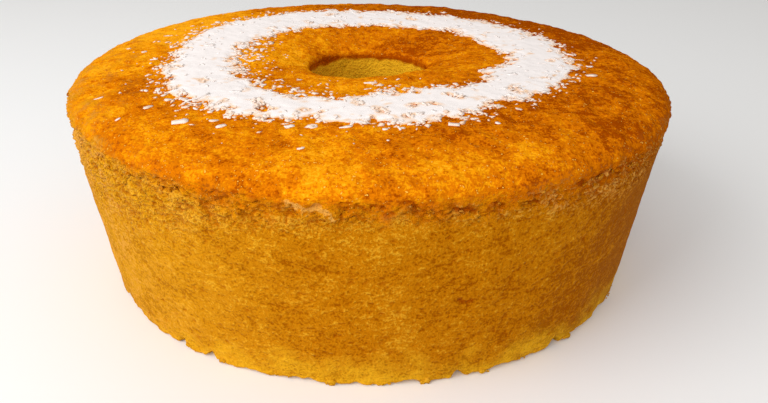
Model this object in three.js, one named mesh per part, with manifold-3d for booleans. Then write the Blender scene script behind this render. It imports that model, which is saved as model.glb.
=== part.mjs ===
// A coconut cake baked in a ring tin, standing as it was baked: sides that widen upwards, a low browned
// crown, a round hole through the middle, and a ring of coconut shreds scattered on the crown.
// The cake is one solid. Its origin is on the axis at the base, +Z is up, and -Y is the front.
// Sizes are in millimetres.

import * as THREE from "three";
import { ImprovedNoise } from "three/addons/math/ImprovedNoise.js";
import { mergeVertices } from "three/addons/utils/BufferGeometryUtils.js";
import Module from "manifold-3d";

// Driving dimensions of the baked ring
const CAKE_DIAMETER = 240; // at the widest, just above the line of the tin's rim
const WIDEST_HEIGHT = 73;
const RIM_DIAMETER = 238.4; // where the side that baked against the tin ends
const RIM_HEIGHT = 70;
const BASE_DIAMETER = 221;
const BASE_ROUND = 2.5;
const CROWN_DIAMETER = 146; // the circle along which the crown is highest
const CROWN_HEIGHT = 82.8;
const CROWN_LEVEL_OUT = 58; // how much wider than that circle the crown's outer curve stays level
const CROWN_LEVEL_IN = 46; // how much narrower than that circle its inner curve stays level
const SHOULDER_DROP = 3.2; // how far below the crown's top its outer edge turns over
const HOLE_TOP_DIAMETER = 49;
const HOLE_BASE_DIAMETER = 58; // the tin's tube tapers, so the hole is wider below
const LIP_HEIGHT = 77; // where the crown has turned down into the hole
const LIP_FLARE = 2.4; // how much wider than the lip its curve aims
const LIP_DROP = 1.6; // how far below the crown's top it aims
const LIP_TILT = 1.5; // how much higher the lip is at the front than halfway round

// Driving dimensions of the coconut
const COCONUT_INNER_DIAMETER = 108;
const COCONUT_OUTER_DIAMETER = 162;
const COCONUT_DEPTH = 0.9;
const COCONUT_FADE = 3; // half the width over which the layer thins out at its edges
const SHRED_WIDTH = 1.9;
const SHRED_THICKNESS = 0.9;
const SHRED_LENGTHS = [4.6, 7.8];
const SHRED_CURLS = [0.1, 0.5]; // how far the ends rise above the middle
const SHRED_TAPER = 0.45;
const SHRED_LIFT = 0.15; // of the middle of a shred above what it lies on
const STRAY_REACHES = [4, 15]; // of the stray shreds, past the outer edge of the layer
const SHREDS_ON_RING = 88;
const SHREDS_ASTRAY = 24;
const COCONUT_SEED = 20;

// Unevenness of the bake round the cake: times round, depth and phase of each wave
const ROUND_WAVES = [
  [1, 0.5, 0],
  [2, 0.5, 0.7],
  [3, 0.4, 2.1],
  [5, 0.25, 4.4],
];
const CROWN_WAVES = [
  [1, 0.2, 2.0],
  [2, 0.75, 1.7],
  [3, 0.2, 4.1],
];

// Lumps of the baked surface, and of the edge and top of the coconut
const SIDE_LUMPS = { size: 16, depth: 0.5 };
const CROWN_LUMPS = { size: 11, depth: 0.6 };
const RIM_CRAGS = { size: 6, depth: 1.5 };
const CRAG_STAND = 0.45;
const CRAG_REACH = 5;
const BASE_CHIPS = { size: 6, depth: 1.4 };
const CHIP_REACH = 5;
const COCONUT_LUMPS = { size: 3.2, depth: 0.9 };
const COCONUT_WANDER = { size: 14, depth: 3.6 };
const COCONUT_TATTERS = { size: 5, depth: 1.8 };

// Fineness of the facets
const STEPS_ROUND = 100;
const SHRED_STEPS = 2;
const WELD_REACH = 1e-4;
const LEAST_HEIGHT = 0.2; // of anything above the flat base

const GOLDEN_ANGLE = Math.PI * (3 - Math.sqrt(5));
const UP = new THREE.Vector3(0, 0, 1);
const DOWN = new THREE.Vector3(0, 0, -1);

const { lerp, smoothstep, seededRandom } = THREE.MathUtils;
const noise = new ImprovedNoise();
const wasm = await Module();
wasm.setup();

// A random draw between two limits, repeatable once the seed is set
const drawBetween = ([low, high]) => lerp(low, high, seededRandom());

// Sum at an angle of waves that go round the cake
const waves = (list, angle) =>
  list.reduce((sum, [times, depth, phase]) => sum + depth * Math.cos(times * angle + phase), 0);

// Height at a point of lumps of a size and depth
const lumps = (point, { size, depth }) => depth * noise.noise(point.x / size, point.y / size, point.z / size);

// The cake's half section, anticlockwise from the foot of the hole: each stretch's curve and steps
function sectionStretches() {
  const at = (diameter, height) => new THREE.Vector2(diameter / 2, height);
  const holeFoot = at(HOLE_BASE_DIAMETER, 0);
  const baseEdge = at(BASE_DIAMETER - 2 * BASE_ROUND, 0);
  const baseCorner = at(BASE_DIAMETER, 0);
  const sideFoot = at(BASE_DIAMETER, BASE_ROUND);
  const rim = at(RIM_DIAMETER, RIM_HEIGHT);
  const widest = at(CAKE_DIAMETER, WIDEST_HEIGHT);
  const shoulder = at(CAKE_DIAMETER, CROWN_HEIGHT - SHOULDER_DROP);
  const crownOut = at(CROWN_DIAMETER + CROWN_LEVEL_OUT, CROWN_HEIGHT);
  const crown = at(CROWN_DIAMETER, CROWN_HEIGHT);
  const crownIn = at(CROWN_DIAMETER - CROWN_LEVEL_IN, CROWN_HEIGHT);
  const flare = at(HOLE_TOP_DIAMETER + LIP_FLARE, CROWN_HEIGHT - LIP_DROP);
  const lip = at(HOLE_TOP_DIAMETER, LIP_HEIGHT);
  return [
    [new THREE.LineCurve(holeFoot, baseEdge), 1],
    [new THREE.QuadraticBezierCurve(baseEdge, baseCorner, sideFoot), 2],
    [new THREE.LineCurve(sideFoot, rim), 6],
    [new THREE.LineCurve(rim, widest), 1],
    [new THREE.CubicBezierCurve(widest, shoulder, crownOut, crown), 10],
    [new THREE.CubicBezierCurve(crown, crownIn, flare, lip), 8],
    [new THREE.LineCurve(lip, holeFoot), 2],
  ];
}

// The section's points, closed on themselves; a stretch leaves its first point to the one before it
function sectionPoints() {
  const stretches = sectionStretches();
  const [firstCurve] = stretches[0];
  return [
    firstCurve.getPoint(0),
    ...stretches.flatMap(([curve, steps]) => curve.getSpacedPoints(steps).slice(1)),
  ];
}

// How much coconut lies at a point of the crown, from 0 to 1, inside edges that wander
function coconutCover(point) {
  const wander = lumps(point, COCONUT_WANDER) + lumps(point, COCONUT_TATTERS);
  const radius = Math.hypot(point.x, point.y) + wander;
  const inner = COCONUT_INNER_DIAMETER / 2;
  const outer = COCONUT_OUTER_DIAMETER / 2;
  const pastInner = smoothstep(radius, inner - COCONUT_FADE, inner + COCONUT_FADE);
  const pastOuter = smoothstep(radius, outer - COCONUT_FADE, outer + COCONUT_FADE);
  return pastInner * (1 - pastOuter);
}

// How far the baked surface stands out from the smooth section at a point with the given normal
function relief(point, normal) {
  const angle = Math.atan2(point.y, point.x);
  const upward = Math.max(0, normal.z);
  const sideways = 1 - Math.abs(normal.z);
  const outward = point.x * normal.x + point.y * normal.y > 0 ? 1 : 0;
  const nearRim = Math.max(0, 1 - Math.abs(point.z - RIM_HEIGHT) / CRAG_REACH);
  const nearBase = Math.max(0, 1 - point.z / CHIP_REACH);
  const crown = waves(CROWN_WAVES, angle) + lumps(point, CROWN_LUMPS);
  const coconut = coconutCover(point) * (COCONUT_DEPTH + lumps(point, COCONUT_LUMPS));
  const side = lumps(point, SIDE_LUMPS) + outward * waves(ROUND_WAVES, angle);
  const crags = nearRim * (CRAG_STAND + lumps(point, RIM_CRAGS));
  const chips = nearBase * Math.max(0, lumps(point, BASE_CHIPS));
  return upward * (crown + coconut) + sideways * side + outward * (crags - chips);
}

// How far a point is raised because the hole's lip is higher at the front: all of it at the lip, less
// further out on the crown, and nothing at the base
function lipRise(point) {
  const radius = Math.hypot(point.x, point.y);
  const nearHole = 1 - smoothstep(radius, HOLE_TOP_DIAMETER / 2, HOLE_TOP_DIAMETER);
  return -LIP_TILT * nearHole * (point.z / LIP_HEIGHT) * (point.y / radius);
}

// A geometry with only positions, its shared vertices merged
function welded(geometry) {
  geometry.deleteAttribute("normal");
  geometry.deleteAttribute("uv");
  return mergeVertices(geometry, WELD_REACH);
}

// The baked ring: its section turned about Z, with relief along the normals, flat where it rests
function bakedRing() {
  const ring = new THREE.LatheGeometry(sectionPoints(), STEPS_ROUND).rotateX(Math.PI / 2);
  const place = ring.getAttribute("position");
  const facing = ring.getAttribute("normal");
  const point = new THREE.Vector3();
  const normal = new THREE.Vector3();
  for (let i = 0; i < place.count; i++) {
    point.fromBufferAttribute(place, i);
    normal.fromBufferAttribute(facing, i);
    const rests = point.z < WELD_REACH;
    if (rests) normal.set(point.x, point.y, 0).normalize();
    const isFoot = rests && Math.hypot(point.x, point.y) < HOLE_BASE_DIAMETER;
    const rise = lipRise(point);
    if (!isFoot) point.addScaledVector(normal, relief(point, normal));
    point.z += rise;
    place.setXYZ(i, point.x, point.y, rests ? 0 : Math.max(point.z, LEAST_HEIGHT));
  }
  return welded(ring);
}

// One coconut shred along X: a strip that tapers to both ends and curls upwards
function shred(length, curl) {
  const strip = new THREE.BoxGeometry(length, SHRED_WIDTH, SHRED_THICKNESS, SHRED_STEPS, 1, 1);
  const place = strip.getAttribute("position");
  for (let i = 0; i < place.count; i++) {
    const along = (2 * place.getX(i)) / length;
    const full = 1 - SHRED_TAPER * along ** 2;
    place.setY(i, place.getY(i) * full);
    place.setZ(i, place.getZ(i) * full + curl * along ** 2);
  }
  return welded(strip);
}

// Shreds laid on the crown: most spread evenly over the layer, the rest astray outside it
function laidShreds(ring) {
  seededRandom(COCONUT_SEED);
  const crown = new THREE.Mesh(ring);
  const inner = COCONUT_INNER_DIAMETER / 2;
  const outer = COCONUT_OUTER_DIAMETER / 2;
  return Array.from({ length: SHREDS_ON_RING + SHREDS_ASTRAY }, (_, i) => {
    const astray = i >= SHREDS_ON_RING;
    const share = (i + 0.5) / SHREDS_ON_RING;
    const evenly = Math.sqrt(lerp(inner ** 2, outer ** 2, share));
    const radius = astray ? outer + drawBetween(STRAY_REACHES) : evenly;
    const angle = i * GOLDEN_ANGLE;
    const above = new THREE.Vector3(radius * Math.cos(angle), radius * Math.sin(angle), 2 * CROWN_HEIGHT);
    const [hit] = new THREE.Raycaster(above, DOWN).intersectObject(crown);
    const heading = new THREE.Quaternion().setFromAxisAngle(UP, drawBetween([0, 2 * Math.PI]));
    const laid = new THREE.Quaternion().setFromUnitVectors(UP, hit.face.normal).multiply(heading);
    const strip = shred(drawBetween(SHRED_LENGTHS), drawBetween(SHRED_CURLS));
    return strip.applyQuaternion(laid).translate(hit.point.x, hit.point.y, hit.point.z + SHRED_LIFT);
  });
}

// A closed geometry as a solid that can be joined to others
function solidOf(geometry) {
  const vertProperties = new Float32Array(geometry.getAttribute("position").array);
  const triVerts = new Uint32Array(geometry.index.array);
  return new wasm.Manifold(new wasm.Mesh({ numProp: 3, vertProperties, triVerts }));
}

// A solid as a geometry again
function geometryOf(solid) {
  const { vertProperties, triVerts } = solid.getMesh();
  const geometry = new THREE.BufferGeometry();
  geometry.setAttribute("position", new THREE.BufferAttribute(vertProperties, 3));
  geometry.setIndex(new THREE.BufferAttribute(triVerts, 1));
  geometry.computeVertexNormals();
  return geometry;
}

// The cake: the baked ring with every shred fused to its crown
function cake() {
  const ring = bakedRing();
  const joined = laidShreds(ring).reduce((solid, strip) => solid.add(solidOf(strip)), solidOf(ring));
  const crust = new THREE.MeshStandardMaterial({ color: 0xc97a12, roughness: 0.7, metalness: 0 });
  const mesh = new THREE.Mesh(geometryOf(joined), crust);
  mesh.name = "cake";
  return mesh;
}

const part = new THREE.Group();
part.add(cake());

export default part;
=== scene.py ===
"""Looks of a coconut ring cake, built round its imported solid.

The crumb, the browned crown, the layer of coconut, its loose shreds and the crumbs are surfaces worked
out with numpy, in metres, in the solid's own frame: Z is the axis of the hole, the base is at height 0,
and the front is at -Y. Tables give lengths in millimetres and ways round the cake in degrees from +X.
"""

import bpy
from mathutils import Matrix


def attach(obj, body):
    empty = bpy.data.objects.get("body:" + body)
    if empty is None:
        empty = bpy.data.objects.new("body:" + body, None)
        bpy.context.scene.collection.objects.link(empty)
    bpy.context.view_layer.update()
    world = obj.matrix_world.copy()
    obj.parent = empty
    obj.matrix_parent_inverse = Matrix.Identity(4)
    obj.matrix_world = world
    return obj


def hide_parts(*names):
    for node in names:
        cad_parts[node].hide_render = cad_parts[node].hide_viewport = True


bl_info = {
    "name": "Coconut ring cake",
    "version": (1, 0, 0),
    "blender": (4, 5, 0),
    "location": "3D View > Sidebar > Cake",
    "description": "Bakes a ring cake with a browned crown and a ring of shredded coconut",
    "category": "Object",
}

import bpy
import numpy as np
from bpy.props import FloatProperty, FloatVectorProperty, IntProperty, PointerProperty
from mathutils import Quaternion, Vector

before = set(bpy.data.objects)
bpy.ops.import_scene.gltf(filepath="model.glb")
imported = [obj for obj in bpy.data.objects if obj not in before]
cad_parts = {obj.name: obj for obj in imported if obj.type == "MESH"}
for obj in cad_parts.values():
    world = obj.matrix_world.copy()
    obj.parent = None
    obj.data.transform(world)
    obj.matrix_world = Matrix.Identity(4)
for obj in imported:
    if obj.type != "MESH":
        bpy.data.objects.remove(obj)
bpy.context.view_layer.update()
NODE = "cake"
BODY = "root"
MM = 0.001

# Whole numbers that mix the indices of a lattice cell into a repeatable draw
CELL_FACTORS = np.array([374761393, 668265263, 1103515245], dtype=np.int64)
SEED_FACTOR = 362437
WORD_MASK = 0xFFFFFFFF
MIXING_STEPS = ((15, 0x2C1B3C6D), (12, 0x297A2D39))
LUMP_GAIN = 1.6

# Factors for places: one leaves out the height, one makes crumbs and pores wider than high
LEVEL = np.array([1, 1, 0])
CRUMB_STRETCH = np.array([1, 1, 1.7])

# Waves of the bake round the cake, as in the solid: times round, depth and phase
ROUND_WAVES = ((1, 0.5, 0), (2, 0.5, 0.7), (3, 0.4, 2.1), (5, 0.25, 4.4))
CROWN_WAVES = ((1, 0.2, 2.0), (2, 0.75, 1.7), (3, 0.2, 4.1))

# How the edges of the coconut ring stray from circles: times round, distance and phase
COCONUT_OUTER = ((1, 4.5, 0.87), (2, 2.0, 4.89))
COCONUT_INNER = ((1, 5.0, 1.4),)

# Where they bulge outwards, or inwards where the distance is below 0: the way, the spread to both sides
# in degrees and the distance. The inner edge frays where it bulges most.
OUTER_BULGES = ((135, 40, 8.5), (-54, 5, -4), (-103, 7, -4), (-145, 14, 3))
INNER_FRINGE = (-78, 20, -9)
INNER_BULGES = (INNER_FRINGE, (44, 16, 4), (-2, 10, 4), (-29, 9, -7))

# Lumps of surfaces, edges and tones: how far across, how deep or strong, and the seed of their draws
CROWN_LUMPS = ((12, 0.5, 11), (5.5, 0.5, 21), (2.6, 0.28, 31))
CROWN_PATCHES = ((26, 0.25, 103), (11, 0.225, 107), (5, 0.15, 113))
SKIN_EDGE = ((9, 3.5, 109), (3.5, 3.5, 119))
SIDE_LUMPS = ((16, 0.45, 67), (5, 0.22, 77), (2.4, 0.12, 87))
SIDE_TONES = ((34, 0.28, 131), (13, 0.2, 141), (6, 0.1, 151))
RIM_LUMPS = ((10, 0.7, 71), (5, 0.6, 81))
RIM_WANDER = ((30, 4, 89),)
CRAG_LUMPS = ((4.2, 1, 79),)
GRIT_LUMPS = ((1.6, 0.6, 83),)
CREVICE_LUMPS = ((6, 1, 97),)
STROKE_EDGE = ((2, 1.2, 127),)
STROKE_WANDER = ((7, 1.5, 137),)
BASE_CHIPS = ((6, 0.8, 59), (2.6, 0.5, 69))
FOOT_EDGE = ((13, 6, 139), (5, 4, 149))
COCONUT_WANDER = ((15, 2.0, 31), (7.5, 3.6, 41), (3, 2.2, 51))
COCONUT_BUMPS = ((9, 0.14, 43), (3, 0.05, 53))
COCONUT_THIN = ((8, 7, 151), (2.4, 1.5, 157))
COCONUT_HOLES = ((3.4, 6, 163),)
COCONUT_FRAYS = ((3.2, 6, 167),)
COCONUT_TINT = ((3, 1.2, 173),)

# Sectors of the cake: the way that each faces, and the cosines of the turn from it where it starts and
# where it is full
SECTORS = {
    "crags_left": (180, 0.1, 0.7), "crags_right": (0, 0.3, 0.8), "crags_front": (-90, 0.5, 0.9),
    "rise_right": (0, 0.2, 0.8), "worn": (180, 0.3, 0.9), "left": (180, 0.3, 1), "far_left": (180, 0.6, 1),
    "paler_left": (180, 0, 1), "right": (0, -0.2, 0.9), "side_right": (0, 0.1, 0.9),
    "dry_right": (0, 0.1, 0.6), "side_front": (-90, 0.3, 0.9), "not_front": (90, -0.5, -0.15),
    "back": (90, 0.3, 0.9), "behind": (90, 0, 0.6), "inner_back": (90, 0, 0.8),
    "coconut_front": (-90, 0.4, 0.9), "loose": (-132, -0.2, 0.7),
}

# Bands of the surfaces: where each starts and where it is full, by radius, by height or by the distance
# from a line
BANDS = {
    "golden": (98, 106), "golden_end": (118, 112), "back": (74, 84), "behind": (62, 76), "inner": (62, 54),
    "frayed": (6, 0), "turned": (80, 72), "skin": (-7, 6), "lip_skin": (-1.2, 0), "under_lip": (1, -1),
    "foot": (16, 0), "chips": (4, 0), "lifted": (6, 0), "base_edge": (-10, 0),
}

# The crumb along the rim broke open: how deep, how far down and up, and how much is worn off at the left.
# Lumps are cut off above the flat height.
CRAG_DEPTH = 1.8
CRAG_FLAT = 0.32
CRAG_REACH = 8
CRAG_REACH_LEFT = 24
CRAG_REACH_RIGHT = 6
CRAG_RISE = 5
RIM_WEAR = 1.6

# Crevices between its crumbs: their depth, and the heights of the lumps where they start and are full
CREVICE_DEPTH = 0.4
CREVICES = (0.2, 0.05)
CREVICE_GAPS = (-0.35, 0.1)

# Pores of the side: their distance and depth, the seed of their draws, and the draws from which they show
PORE_SPACING = 2.6
PORE_DEPTH = 0.9
PORE_SEED = 53
PORES_SHOW = (0.8, 0.92)

# A pale scraped place on the rim, and dark cracks in the rim and the side: two ends, each a way and a
# height. The cracks are cut in and painted dark: partly the darker crumb inside, partly painted shade in
# them. Fine cracks are less dark.
RIM_SCRAPES = (((-101, 72.2), (-95, 69.2)),)
SCRAPE_HALF_WIDTH = 1.5
CRACKS = (
    ((-78.5, 69.4), (-74.7, 69.0)), ((-71.8, 69.7), (-71, 69.5)), ((-66.2, 68.4), (-65.2, 68.2)),
    ((-48.8, 71.3), (-47.6, 71.4)), ((-58, 70.5), (-57, 70.2)), ((-75.3, 34.6), (-73.6, 34.9)),
)
CRACK_HALF_WIDTH = 1.0
CRACK_DEPTH = 0.8
FINE_CRACKS = (
    ((-108.6, 73.4), (-107.4, 72.5)), ((-93.7, 73.5), (-92.5, 73.3)), ((-91.8, 72.4), (-90.3, 71)),
    ((-89.8, 71), (-88.1, 72)), ((-84, 71.7), (-82.4, 69.6)), ((-85.5, 74.3), (-84.3, 73.7)),
)
FINE_CRACK_HALF_WIDTH = 0.7
FINE_CRACK_SHARE = 0.8

# Places where the edge of the base broke away: way, half length and depth
BASE_BREAKS = (
    (-53, 3, 4), (-127.3, 3, 1.6), (-120.2, 3, 1.4), (-74, 3, 1.2), (-83, 8, 0.5), (-101, 10, 0.4),
    (-93, 7, 0.3), (-66, 5, 0.4), (-111, 6, 0.4), (-38, 5, 0.8), (20, 4, 1.6), (105, 5, 1.2),
    (160, 7, 0.9),
)

# How far the lumps of the base's edge may stand out, the loss below which it counts as unbroken, the
# least height of rows that don't rest, and the height below which a row rests
CHIP_BULGE = 0.4
UNBROKEN = 0.2
LEAST_HEIGHT = 0.2
RESTING = 0.01

# Crumbs that stick out of the edge of the base: way, height and length
BASE_CRUMBS = (
    (-96.6, 1.2, 3), (-80.1, 0.9, 3.6), (-50, 1.6, 3.4), (-117.5, 1.5, 2.6), (-125.6, 1.8, 2.4),
    (-62, 1.5, 2), (-88, 1, 2.2), (-107, 1.2, 2), (-69.5, 1.2, 2.4),
)

# The baked surface is cut into pieces that meet edge to edge: below the rim at a height, above it at a
# share of the crown's outer curve, and in the hole at a depth below the lip, a little wider than it.
# Each piece is closed by two rows that lie under two of its own, at a depth. Edges that fold by more than
# an angle are sharp.
AROUND = 1060
CUT_BELOW_RIM = 61
CUT_ABOVE_RIM = 0.42
CUT_BELOW_LIP = 6
CUT_WIDER = 0.8
FOLD_ROWS = [-3, 2]
FOLD_DEPTH = 3
FOLD_ANGLE = np.radians(75)

# Steps of each stretch of its section, and of the curves that are evened out or looked up
ROWS = {
    "hole": 24, "base": 8, "base_edge": 6, "side": 52, "below_rim": 18, "rim": 6, "shoulder": 21,
    "crown": 40, "inner_crown": 32, "lip": 8,
}
CURVE_SAMPLES = 400
CROWN_SAMPLES = 200

# How much the crown may bake at most, 0 standing for its usual amber
MOST_BAKED = 1.1

# Places of the crown that baked more, or less where the amount is below 0: x, y, size and amount
CROWN_SPOTS = (
    (-34, -97, 12, 0.45), (14, -101, 9, 0.2), (34, -94, 10, 0.25), (62, -84, 14, 0.4),
    (80, -70, 14, 0.25), (-72, -78, 9, 0.25), (-56, -98, 11, 0.3), (28, -109, 8, -0.5),
    (51, -102, 9, -0.5), (-28, -108, 9, -0.3), (-14, -115, 6, -0.25), (38, -89, 6, -0.3),
    (-92, -58, 8, -0.3), (-70, -90, 6, -0.2),
)

# How much higher the crown's skin ends at the left, and how far below the lip it ends in the hole: at the
# least, and how much more at both sides. In the hole this band is painted darker still: partly the brown
# crust that curls over the lip and partly painted shade under the overhanging lip.
SKIN_LEFT = 7
LIP_SKIN = 1.2
LIP_SKIN_SIDES = 1.3

# The layer of coconut: how far past its ring the surface reaches, the height of its section, how far its
# underside is sunk into the crown, its rows and its steps round, the distance from the edge where it is
# full, the margin from which it lies, how far it dips below the crown where it doesn't, and the margins
# between which it is tinted
LAYER_MARGIN = 14
LAYER_THICKNESS = 4
LAYER_SUNK = 3
LAYER_ROWS = 112
LAYER_AROUND = 840
LAYER_FULL = 5
LAYER_STARTS = -0.4
LAYER_BELOW = 1.5
LAYER_TINTED = (2.6, -0.5)

# Loose coconut of each kind: the distance over which it fades out beside the layer, and its chance there
# and well inside. It is drawn between two radii, and is piled from one margin to the other.
SCATTERS = {"shred": (1.5, 0.6, 1.0), "grain": (1.4, 0.9, 0.01), "flake": (4.0, 0.8, 0.3)}
FINE_SCATTER = (2.6, 0.7, 0.01)
SCATTER_RADII = (30, 112)
SHREDS_PILED = (-1, 3)
FINES_PILED = (-1, 2)

# The largest stray flakes of coconut in front: x, y, length and heading
STRAY_FLAKES = (
    (-61, -76, 5.4, 12), (-75, -62, 3.6, 50), (-83, -70, 2.0, 20), (-62, -63, 2.8, 5),
    (-47, -81, 3.4, 30), (-50, -76, 3.2, 15), (-45, -72, 2.8, 70), (-25, -83, 3.4, 10),
    (-17, -84, 3.0, 45), (-20, -100, 2.4, 25), (85, -31, 4.2, 5), (88, -17, 3.0, 10),
    (27, -84, 3.6, -5), (31, -78, 3.0, 15), (34, -79, 2.8, 20), (41, -83, 2.0, -60),
    (40, -77, 2.2, -15), (50, -70, 2.4, 5), (-7, -85, 4.4, 10), (-86, -10, 3.0, 15),
)

# Mean and spread of the logarithms of the sizes of loose bits
LENGTH_SPREAD = (-0.08, 0.35)
WIDTH_SPREAD = (-0.05, 0.25)
FINE_SPREAD = (-0.1, 0.35)
CRUMB_SPREAD = (-0.1, 0.4)

# A shred has four sides and five stations along it; a fine bit has six tips and is flat
STRIP_STATIONS = 5
STRIP_SIDES = 4
FINE_TIPS = np.array([[1, 0, 0], [0, 1, 0], [-1, 0, 0], [0, -1, 0], [0, 0, 1], [0, 0, -1]])
FINE_SHAPE = np.array([1.3, 0.9, 0.3])

# The stage, in metres: half the side of the floor, the strength of the surroundings, where the lamps aim,
# and the name, place, size and watts of each
FLOOR_HALF = 3.0
SKY_STRENGTH = 0.63
LAMP_AIM = Vector((0, 0, 0.05))
LAMPS = (
    ("window", (-0.7, -0.45, 0.65), 0.8, 7.6),
    ("back_window", (-0.5, 1.0, 0.8), 0.9, 0.5),
    ("front_fill", (-0.1, -1.2, 0.8), 0.8, 5.6),
)


def linear(hex_colour):
    """An sRGB hex colour as linear red, green and blue from 0 to 1."""
    shares = np.array([int(hex_colour[i : i + 2], 16) for i in (1, 3, 5)]) / 255
    return tuple(np.where(shares <= 0.04045, shares / 12.92, ((shares + 0.055) / 1.055) ** 2.4))


def length(name, description, millimetres):
    """A property for a length, given in millimetres and kept in metres."""
    return FloatProperty(
        name=name, description=description, default=millimetres * MM, unit="LENGTH", subtype="DISTANCE"
    )


def colour(name, description, hex_colour):
    """A property for a colour, given as sRGB hex and kept linear."""
    return FloatVectorProperty(
        name=name, description=description, default=linear(hex_colour), subtype="COLOR", min=0, max=1
    )


def count(name, description, number):
    """A property for a whole number: how many of a thing there are, or a seed."""
    return IntProperty(name=name, description=description, default=number, min=1)


def place(name, description, metres):
    """A property for a place in space, in metres."""
    return FloatVectorProperty(
        name=name, description=description, default=metres, subtype="TRANSLATION"
    )


class CakeSizes(bpy.types.PropertyGroup):
    """Sizes of the baked ring."""

    diameter: length("Diameter", "Widest diameter, just above the line of the tin's rim", 240)
    widest_height: length("Widest height", "Height of the widest place", 73)
    rim_diameter: length("Rim diameter", "Diameter where the side baked against the tin ends", 238.4)
    rim_height: length("Rim height", "Height of the line that the tin's rim left", 70)
    base_diameter: length("Base diameter", "Diameter of the base, before its edge is rounded", 221)
    base_round: length("Base round", "Rounding of the edge of the base", 2.5)
    crown_diameter: length("Crown diameter", "Circle along which the crown is highest", 146)
    crown_height: length("Crown height", "Height of the crown without its coconut", 82.8)
    level_out: length("Level outside", "How much wider than its circle the crown stays level", 58)
    level_in: length("Level inside", "How much narrower than its circle the crown stays level", 46)
    shoulder_drop: length("Shoulder drop", "How far below its top the crown turns over", 3.2)
    hole_top_diameter: length("Hole top", "Diameter of the hole at its lip", 49)
    hole_base_diameter: length("Hole base", "Diameter of the hole at the base", 58)
    lip_height: length("Lip height", "Height where the crown has turned down into the hole", 77)
    lip_flare: length("Lip flare", "How far the lip's curve leans out", 2.4)
    lip_drop: length("Lip drop", "How far below the top the lip's curve aims", 1.6)
    lip_tilt: length("Lip tilt", "How much higher the lip is at the front than halfway round", 1.5)


class CoconutSizes(bpy.types.PropertyGroup):
    """Sizes and numbers of the coconut on the crown."""

    inner_radius: length("Inner radius", "Inner radius of the ring of coconut", 54.5)
    outer_radius: length("Outer radius", "Outer radius of the ring of coconut", 79.5)
    depth: length("Depth", "Depth of the layer under the loose shreds", 0.6)
    shred_length: length("Shred length", "Usual length of a fine shred", 1.9)
    shred_width: length("Shred width", "Usual width of a fine shred", 0.8)
    shred_thickness: length("Shred thickness", "Thickness of a fine shred", 0.14)
    shred_count: count("Shreds", "Fine shreds that lie on the layer", 130)
    grain_length: length("Grain length", "Usual length of a grain along the edges", 1.9)
    grain_width: length("Grain width", "Usual width of a grain", 1.2)
    grain_thickness: length("Grain thickness", "Thickness of a grain", 0.22)
    grain_count: count("Grains", "Grains along the edges of the layer", 800)
    flake_length: length("Flake length", "Usual length of the largest flakes", 3.4)
    flake_width: length("Flake width", "Usual width of the largest flakes", 1.6)
    flake_count: count("Flakes", "Largest flakes that lie astray by chance", 30)
    fine_size: length("Fine size", "Usual size of the finest bits", 1.4)
    fine_count: count("Fines", "Finest bits, most of them round the edges of the layer", 1100)
    seed: count("Seed", "Start of the random draws", 7)


class CrumbSizes(bpy.types.PropertyGroup):
    """Sizes and numbers of the loose bits of cake."""

    rim_flake: length("Rim flake", "Usual length of a dry flake along the rim", 1.5)
    rim_flake_count: count("Rim flakes", "Dry flakes along the rim", 260)
    crumb: length("Crumb", "Usual size of a crumb along the base", 1.1)
    crumb_count: count("Crumbs", "Crumbs along the base, fewer where it broke away", 70)
    seed: count("Seed", "Start of the random draws", 3)


class CakeColours(bpy.types.PropertyGroup):
    """Colours of the crust, the crumb and the coconut."""

    yellow: colour("Yellow", "Crown where it baked least", "#F9A818")
    gold: colour("Gold", "Crown where it baked little", "#E69008")
    amber: colour("Amber", "Most of the crown", "#D07104")
    brown: colour("Brown", "Crown where it baked most", "#9A4200")
    freckle: colour("Freckle", "Small specks of the crown that baked darkest", "#A64600")
    # Glints are painted highlights: pale specks in the colour, as the crust has no specular
    glint: colour("Glint", "Tiny glossy grains on the crown", "#FFCD58")
    # The dry colour is also painted over the lit left of the side as painted light
    dry: colour("Dry", "Dry crumb and flakes along the rim", "#D2923E")
    scrape: colour("Scrape", "Places scraped bare along the rim", "#E2A44C")
    side: colour("Side", "Side that baked against the tin", "#B97106")
    side_dark: colour("Dark side", "Side where it baked most", "#964F00")
    side_pale: colour("Pale side", "Paler grains of the side", "#D4951F")
    # Pit colour: partly the darker crumb, partly painted shade in pores, clefts, cracks and under the lip
    pit: colour("Pit", "Pits and cracks in the crumb", "#9A4000")
    sheen: colour("Sheen", "Faint dusty sheen of the side", "#F5C27A")
    crumb: colour("Crumb", "Unbrowned crumb in the hole and along the base", "#E6AE20")
    crumb_dark: colour("Dark crumb", "Pores of the unbrowned crumb", "#C89014")
    coconut: colour("Coconut", "Dry coconut", "#F1EAE8")
    # On loose bits the coconut shade colour is partly painted warm light bounced from the crust
    coconut_shade: colour("Coconut shade", "Coconut where the crust shines through it", "#EBC6A4")


class StageSettings(bpy.types.PropertyGroup):
    """Camera, floor and lights."""

    eye: place("Eye", "Where the camera stands", (0.0, -0.3033, 0.1674))
    aim: place("Aim", "What the camera looks at", (0.0071, 0.0, 0.0136))
    roll: FloatProperty(
        name="Roll", description="Turn of the camera about its view", default=0.009, subtype="ANGLE"
    )
    lens: FloatProperty(name="Lens", description="Focal length", default=34.8, unit="CAMERA")
    floor: colour("Floor", "Plain pale floor", "#F1F2F3")
    sky: colour("Sky", "Plain pale surroundings", "#F1EEEA")


def draws(cells, seed):
    """A repeatable draw from 0 to 1 for each whole-number cell: its indices, times large odd numbers, are
    summed and then folded by shifts and multiplications."""
    word = (cells.astype(np.int64) @ CELL_FACTORS + seed * SEED_FACTOR) & WORD_MASK
    for shift, factor in MIXING_STEPS:
        word = ((word ^ (word >> shift)) * factor) & WORD_MASK
    return (word ^ (word >> MIXING_STEPS[0][0])) / (WORD_MASK + 1)


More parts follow.
